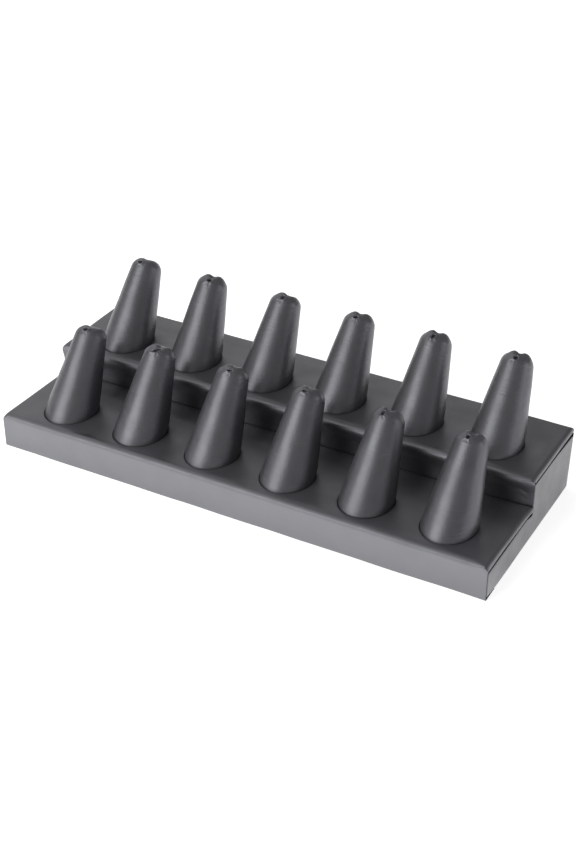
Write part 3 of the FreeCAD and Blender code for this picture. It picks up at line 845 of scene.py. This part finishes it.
# %% Saw, open the windows and finish the lower cover
saw(bm, 0, station_places(END_STEPS))
front_saws(bm, front, window_front)
saw(bm, 1, spread(window_front, window_rear, WINDOW_CUTS))
saw(bm, 1, spread(window_rear, lower_rear - 1.2 * MM, 4)[1:])
finger_windows(bm, "lower", window_front, window_rear, pitch)
edge_of_top = rounded_front(bm, front, lower_seat, half_length)
front_face = [(front, level) for level in spread(lower_seat, FOLD_RADIUS, 8)]
front_face += [(front + back, level) for back, level in quarter_round(FOLD_RADIUS)]
front_face.append((front + HEM, 0.0))
draw_wall(bm, edge_of_top, front_face)
print("lower cover", len(bm.faces), "faces after sawing")
tilt_top(bm, lower_seat, front, lower_rear, 0.35 * MM, -0.35 * MM)
for side in (-1, 1):
    corner = [
        Vector((side * (half_length - 3.0 * MM), front + 3.0 * MM, lower_top + 0.2 * MM)),
        Vector((side * (half_length - 0.8 * MM), front + 0.8 * MM, lower_top - 0.6 * MM)),
    ]
    press(bm, corner, 0.4 * MM, 0.2 * MM)
    rear_corner = Vector((side * half_length, lower_rear, lower_top - 1.5 * MM))
    pull(bm, rear_corner, 7 * MM, Vector((side * 0.5, 0, 0.4)) * MM)
wave(bm, 17 * MM, 0.16 * MM, 2.0)
lower_cover = finished_piece(bm, "lower_cover", [cover_leatherette, cut_edge])


def give_thickness(piece):
    """Give a sheet its thickness inwards, with the raw edge in its own finish."""
    wall = piece.modifiers.new("thickness", "SOLIDIFY")
    wall.thickness = COVER_THICKNESS
    wall.offset = -1.0
    wall.material_offset = 1
    wall.material_offset_rim = 1


give_thickness(lower_cover)
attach(lower_cover, "root")
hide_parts("lower_tier_cover")

# %% [markdown]
# The upper cover starts tucked behind the lower top, climbs the riser, swells into the rounded
# nose, covers the top and comes down the leaning back to a hem under it. The riser is drawn down
# from the nose in small steps, a millimetre back under it, and forward again a little at its foot.

# %% The upper cover
upper_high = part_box("upper_tier_cover")[1]
upper_top = tier_top["upper"]
upper_seat = upper_top - SEAT_BELOW_TOP
rear = upper_high.y
NOSE_OVERHANG = 0.8 * MM
RISER_SET_BACK = 0.2 * MM
nose = lower_high.y - NOSE_OVERHANG
riser = lower_high.y + RISER_SET_BACK
back_foot = rear - 2.0 * MM
RISER_FOOT = 6.6 * MM

bm = open_box(
    Vector((-half_length, nose, upper_seat)), Vector((half_length, rear, upper_top)),
    [-UP, -BACKWARD],
)
rolled = [
    edge for edge in bm.edges
    if lies_at(edge, z=upper_top) and not lies_at(edge, y=nose)
]
round_edges(bm, rolled, ROLL_RADIUS, 6)
skirt = [edge for edge in bm.edges if lies_at(edge, y=rear, z=upper_seat)]
draw_out(bm, skirt, Vector((0, back_foot - rear, -upper_seat)), -BACKWARD * HEM)
folds = [edge for edge in bm.edges if lies_at(edge, y=back_foot, z=0.0)]
round_edges(bm, folds, FOLD_RADIUS, 4)
for side in (-1, 1):
    lip = [edge for edge in bm.edges if lies_at(edge, x=side * half_length, z=upper_seat)]
    lip = [edge for edge in lip if edge.is_boundary]
    draw_out(bm, lip, Vector((-side * TURN_IN, 0, 0)))
    lip = [edge for edge in bm.edges if lies_at(edge, x=side * half_length, z=upper_seat)]
    round_edges(bm, [edge for edge in lip if edge.is_manifold], LIP_RADIUS, 3)
print("upper cover", len(bm.faces), "faces before sawing")

# %% Saw and open the windows of the upper cover
upper_foot_middle = finger_root("upper", 1).y - FOOT_SHIFT
upper_window_front = nose + WINDOW_FROM_FRONT
upper_window_rear = upper_foot_middle + FOOT_HALF_DEPTH + WINDOW_MARGIN
saw(bm, 0, station_places(END_STEPS))
front_saws(bm, nose, upper_window_front)
saw(bm, 1, spread(upper_window_front, upper_window_rear, WINDOW_CUTS))
saw(bm, 1, spread(upper_window_rear, rear - ROLL_RADIUS, 4)[1:-1])
saw(bm, 2, spread(2.5 * MM, 23.0 * MM, 8))
finger_windows(bm, "upper", upper_window_front, upper_window_rear, pitch)


# %% Round the nose and draw the riser down from it
def riser_face(level):
    """How far back the riser's leatherette stands at a level."""
    under_nose = smooth_step((upper_seat - level) / (5 * MM))
    at_foot = smooth_step((19 * MM - level) / (3.4 * MM))
    return nose + (riser - nose) * under_nose - 0.25 * MM * at_foot


edge_of_top = rounded_front(bm, nose, upper_seat, half_length)
levels = spread(upper_seat, 15.4 * MM, 20) + [13 * MM, RISER_FOOT]
draw_wall(bm, edge_of_top, [(riser_face(level), level) for level in levels])
print("upper cover", len(bm.faces), "faces with its riser")

# %% [markdown]
# The nose turns back a little towards each end, sags at its right end, where the riser under it has
# two slack folds, and the whole sheet is a little uneven, as board and glue leave it.

# %% Crease and finish the upper cover
tilt_top(bm, upper_seat, nose, rear, 0.0, 0.2 * MM)
WIDE_TURN = 7 * MM
TURN_BACK = 0.3 * MM
for vert in bm.verts:
    inset = half_length - abs(vert.co.x)
    if vert.co.y < ROUND_REACH and vert.co.z > 12 * MM:
        near_front = 1 - smooth_step(vert.co.y / ROUND_REACH)
        vert.co.y += TURN_BACK * near_front * max(0.0, 1 - inset / WIDE_TURN) ** 2
for side in (-1, 1):
    back_heel = Vector((side * half_length, back_foot - 4 * MM, 0))
    pull(bm, back_heel, 9 * MM, Vector((-side * 0.6, 0, 0.9)) * MM)
pull(bm, spot(102, 0.2, 25.5), 11 * MM, spot(0, -0.6, 0))
fold = [spot(102, -0.2, 24.9), spot(106.8, 0.2, 22.8), spot(110.6, 0.8, 19.8)]
press(bm, fold, 0.9 * MM, 0.5 * MM, ends=0.8)
press(bm, [spot(106.5, 0.6, 20.4), spot(109.8, 0.7, 17.4)], 0.8 * MM, 0.3 * MM, ends=0.8)
wave(bm, 17 * MM, 0.16 * MM, 9.0)
upper_cover = finished_piece(bm, "upper_cover", [cover_leatherette, cut_edge])
give_thickness(upper_cover)
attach(upper_cover, "root")
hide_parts("upper_tier_cover")

# %% [markdown]
# Each end of the stand has one stepped panel of leatherette, glued flat. Its outline is one face,
# drawn out sideways to give it its thickness, with its outer edges barely rounded, as leatherette
# never folds to a knife edge. Its top edge falls a little towards the rear and dips just in front
# of the step, where a dark opening shows under the lower cover.

# %% The end panels
PANEL_THICKNESS = 0.5 * MM
PANEL_PROUD = 0.12 * MM
SEAM = 0.5 * MM
panel_bottom = COVER_THICKNESS
panel_front = front + COVER_THICKNESS + 0.35 * MM
panel_step = riser + COVER_THICKNESS
panel_low_top = lower_seat - SEAM
panel_high_top = upper_seat - SEAM
OPENING_LENGTH = 6.0 * MM
OPENING_DROP = 1.1 * MM
PANEL_DROOP = 0.9 * MM
PANEL_LIFT = 0.9 * MM
LIFT_LENGTH = 10 * MM
PANEL_CORNER = 1.4 * MM
PANEL_EDGE = 0.2 * MM


def back_face(height):
    """How far back the panel's edge stands at a height, just short of the leaning back."""
    return back_foot + (rear - back_foot) * height / upper_top - 0.1 * MM


def end_panel(side, name, node):
    """A stepped panel on one end."""
    bm = bmesh.new()
    rear_top = panel_high_top - PANEL_DROOP
    corners = [
        (panel_front, panel_bottom + PANEL_LIFT),
        (panel_front + LIFT_LENGTH, panel_bottom),
        (back_face(panel_bottom), panel_bottom),
        (back_face(rear_top), rear_top),
        (panel_step + 0.55 * (rear - panel_step), panel_high_top),
        (panel_step, panel_high_top),
        (panel_step, panel_low_top - OPENING_DROP),
        (panel_step - OPENING_LENGTH / 3, panel_low_top - OPENING_DROP),
        (panel_step - OPENING_LENGTH, panel_low_top),
        (panel_front, panel_low_top),
    ]
    outside = half_length + PANEL_PROUD
    inner = side * (outside - PANEL_THICKNESS)
    verts = [bm.verts.new((inner, y, z)) for y, z in corners]
    face = bm.faces.new(verts)
    grown = bmesh.ops.extrude_face_region(bm, geom=[face])
    moved = [item for item in grown["geom"] if isinstance(item, bmesh.types.BMVert)]
    bmesh.ops.translate(bm, verts=moved, vec=(side * PANEL_THICKNESS, 0, 0))
    rear_corner = [edge for edge in bm.edges if lies_at(edge, y=back_face(rear_top), z=rear_top)]
    round_edges(bm, rear_corner, PANEL_CORNER, 5)
    outline = [edge for edge in bm.edges if lies_at(edge, x=side * outside)]
    round_edges(bm, outline, PANEL_EDGE, 2)
    saw(bm, 1, spread(front + 2 * MM, rear - 4 * MM, 30))
    saw(bm, 2, spread(2 * MM, panel_high_top - 1 * MM, 8))
    wave(bm, 15 * MM, 0.1 * MM, 4.0 + side)
    panel = finished_piece(bm, name, [cover_leatherette])
    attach(panel, "root")
    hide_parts(node)


end_panel(-1, "left_end_panel", "left_side_cover")
end_panel(1, "right_end_panel", "right_side_cover")

# %% [markdown]
# The studio is a wide sheet of white paper under soft light. The lamps stay at a plain level, and
# the paper looks white to the camera and in reflections because its own finish adds a glow for
# those rays only, so the stand's shadow still falls on it. Satin leatherette shows what it mirrors:
# the front face mirrors the paper before it, so the paper glows more there than at the rear. One
# large softbox at the front left makes the long highlight down each finger, and a low card under it
# lights the nose. A panel overhead and a reflector at the rear left lift the tops, and a dimmer
# softbox lights the right end.

# %% The studio
def softbox(name, toward, distance, wide, high, brightness, colour=(1, 1, 1)):
    """A rectangular lamp that faces the stand; brightness is its glow, where white paper has 1."""
    lamp_data = bpy.data.lights.new(name, "AREA")
    lamp_data.shape = "RECTANGLE"
    lamp_data.size = wide
    lamp_data.size_y = high
    lamp_data.energy = brightness * math.pi * wide * high
    lamp_data.color = colour
    lamp = bpy.data.objects.new(name, lamp_data)
    direction = Vector(toward).normalized()
    lamp.location = direction * distance + Vector((0, 0, 0.02))
    lamp.rotation_mode = "QUATERNION"
    lamp.rotation_quaternion = (-direction).to_track_quat("-Z", "Y")
    bpy.context.scene.collection.objects.link(lamp)


softbox("front_left_softbox", (-0.41, -0.70, 0.56), 1.0, 0.75, 0.64, 2.6)
softbox("front_card", (-0.41, -0.90, 0.13), 1.0, 0.75, 0.3, 1.1)
softbox("overhead_panel", (-0.41, -0.12, 0.95), 1.1, 0.8, 0.6, 1.0)
softbox("right_softbox", (0.95, 0.25, 0.35), 1.2, 0.7, 0.5, 1.2, (0.95, 0.93, 1.0))
softbox("rear_left_reflector", (-0.75, 0.62, 0.5), 1.3, 1.6, 1.0, 0.49)

ROOM_LIGHT = 0.24
world = bpy.data.worlds.new("studio")
world.use_nodes = True
bpy.context.scene.world = world
tree = world.node_tree
background = next(node for node in tree.nodes if node.type == "BACKGROUND")
rays = tree.nodes.new("ShaderNodeLightPath")
glow = add_node(tree, "ShaderNodeMapRange", To_Min=ROOM_LIGHT, To_Max=1.0)
tree.links.new(rays.outputs["Is Camera Ray"], glow.inputs["Value"])
background.inputs["Color"].default_value = (1, 1, 1, 1)
tree.links.new(glow.outputs["Result"], background.inputs["Strength"])

SEEN_GLOW = 0.75
FRONT_GLOW = 1.6
REAR_GLOW = 0.78
FRONT_GLOW_AT = -60 * MM
REAR_GLOW_AT = -20 * MM


def paper():
    """White paper that glows for camera and mirror rays, and keeps its shadow for the camera."""
    material, tree, shader = new_material("white_paper")
    shader.inputs["Base Color"].default_value = (0.9, 0.9, 0.9, 1)
    shader.inputs["Roughness"].default_value = 1.0
    shader.inputs["Specular IOR Level"].default_value = 0.0
    rays = tree.nodes.new("ShaderNodeLightPath")
    seen = add_node(tree, "ShaderNodeMapRange", To_Min=0.0, To_Max=SEEN_GLOW)
    tree.links.new(rays.outputs["Is Camera Ray"], seen.inputs["Value"])
    place = tree.nodes.new("ShaderNodeTexCoord")
    depth = tree.nodes.new("ShaderNodeSeparateXYZ")
    tree.links.new(place.outputs["Object"], depth.inputs["Vector"])
    falling = add_node(
        tree, "ShaderNodeMapRange", From_Min=FRONT_GLOW_AT, From_Max=REAR_GLOW_AT,
        To_Min=FRONT_GLOW, To_Max=REAR_GLOW,
    )
    tree.links.new(depth.outputs["Y"], falling.inputs["Value"])
    mirrored = tree.nodes.new("ShaderNodeMath")
    mirrored.operation = "MULTIPLY_ADD"
    tree.links.new(rays.outputs["Is Glossy Ray"], mirrored.inputs[0])
    tree.links.new(falling.outputs["Result"], mirrored.inputs[1])
    tree.links.new(seen.outputs["Result"], mirrored.inputs[2])
    shader.inputs["Emission Color"].default_value = (1, 1, 1, 1)
    tree.links.new(mirrored.outputs[0], shader.inputs["Emission Strength"])
    material.cycles.emission_sampling = "NONE"
    return material


bm = bmesh.new()
bmesh.ops.create_grid(bm, x_segments=2, y_segments=2, size=6.0)
bmesh.ops.translate(bm, verts=bm.verts, vec=(0, 0, -0.15 * MM))
floor = finished_piece(bm, "paper_floor", [paper()])
